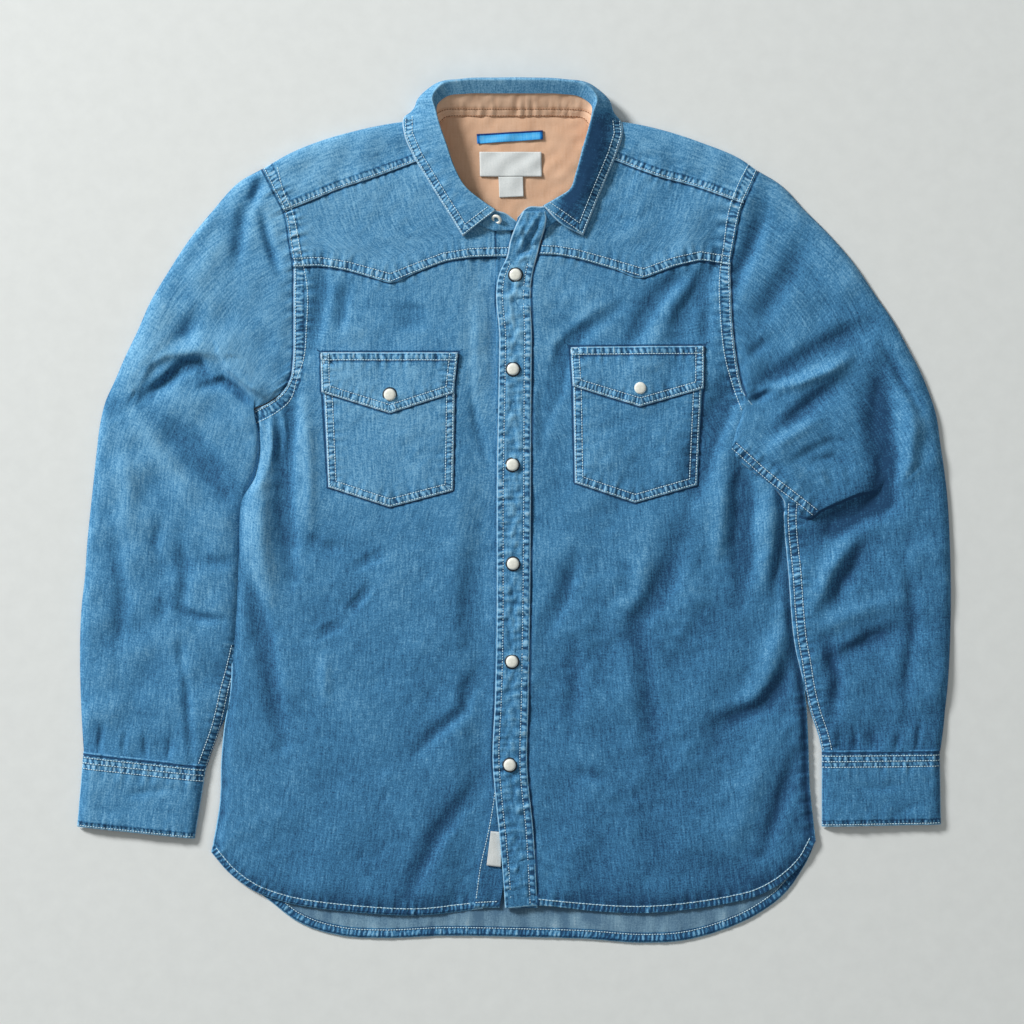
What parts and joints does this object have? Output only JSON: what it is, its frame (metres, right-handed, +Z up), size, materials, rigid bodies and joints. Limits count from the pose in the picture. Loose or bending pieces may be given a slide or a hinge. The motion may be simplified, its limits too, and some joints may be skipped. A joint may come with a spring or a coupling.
{
  "type": "denim shirt",
  "caption": "Long-sleeved denim western shirt laid flat on its back and fastened, with pointed yokes, flap pockets, a snap placket and a curved hem; the left sleeve folds over at the underarm.",
  "frame": {"origin": "middle of the footprint's bounding box, on the surface that the shirt lies on", "axes": "+Z up from that surface, +Y from the hem to the collar, +X to the wearer's left"},
  "size_m": [0.788, 0.7778, 0.022],
  "materials": {
    "denim": "washed mid-blue denim, matt",
    "denim_light": "washed denim of the right front band, matt",
    "tan": "plain tan cotton, matt",
    "pearl": "cream pearl with a thin metal rim",
    "tape": "blue woven tape",
    "label": "off-white woven label, bare"
  },
  "bodies": {
    "root": {"back_panel": "denim", "back_yoke": "denim", "collar": "denim", "collar_stand": "tan", "front_placket": "denim", "hanger_loop": "tape", "hem_tag": "label", "left_cuff": "denim", "left_front": "denim", "left_front_yoke": "denim", "left_pocket": "denim", "left_pocket_flap": "denim", "left_pocket_snap": "pearl", "left_sleeve": "denim", "neck_label": "label", "neck_snap_ring": "pearl", "placket_snap_1": "pearl", "placket_snap_2": "pearl", "placket_snap_3": "pearl", "placket_snap_4": "pearl", "placket_snap_5": "pearl", "placket_snap_6": "pearl", "right_cuff": "denim", "right_front": "denim", "right_front_yoke": "denim", "right_pocket": "denim", "right_pocket_flap": "denim", "right_pocket_snap": "pearl", "right_sleeve": "denim", "size_label": "label", "under_placket": "denim_light", "yoke_lining": "tan"}
  },
  "joints": []
}
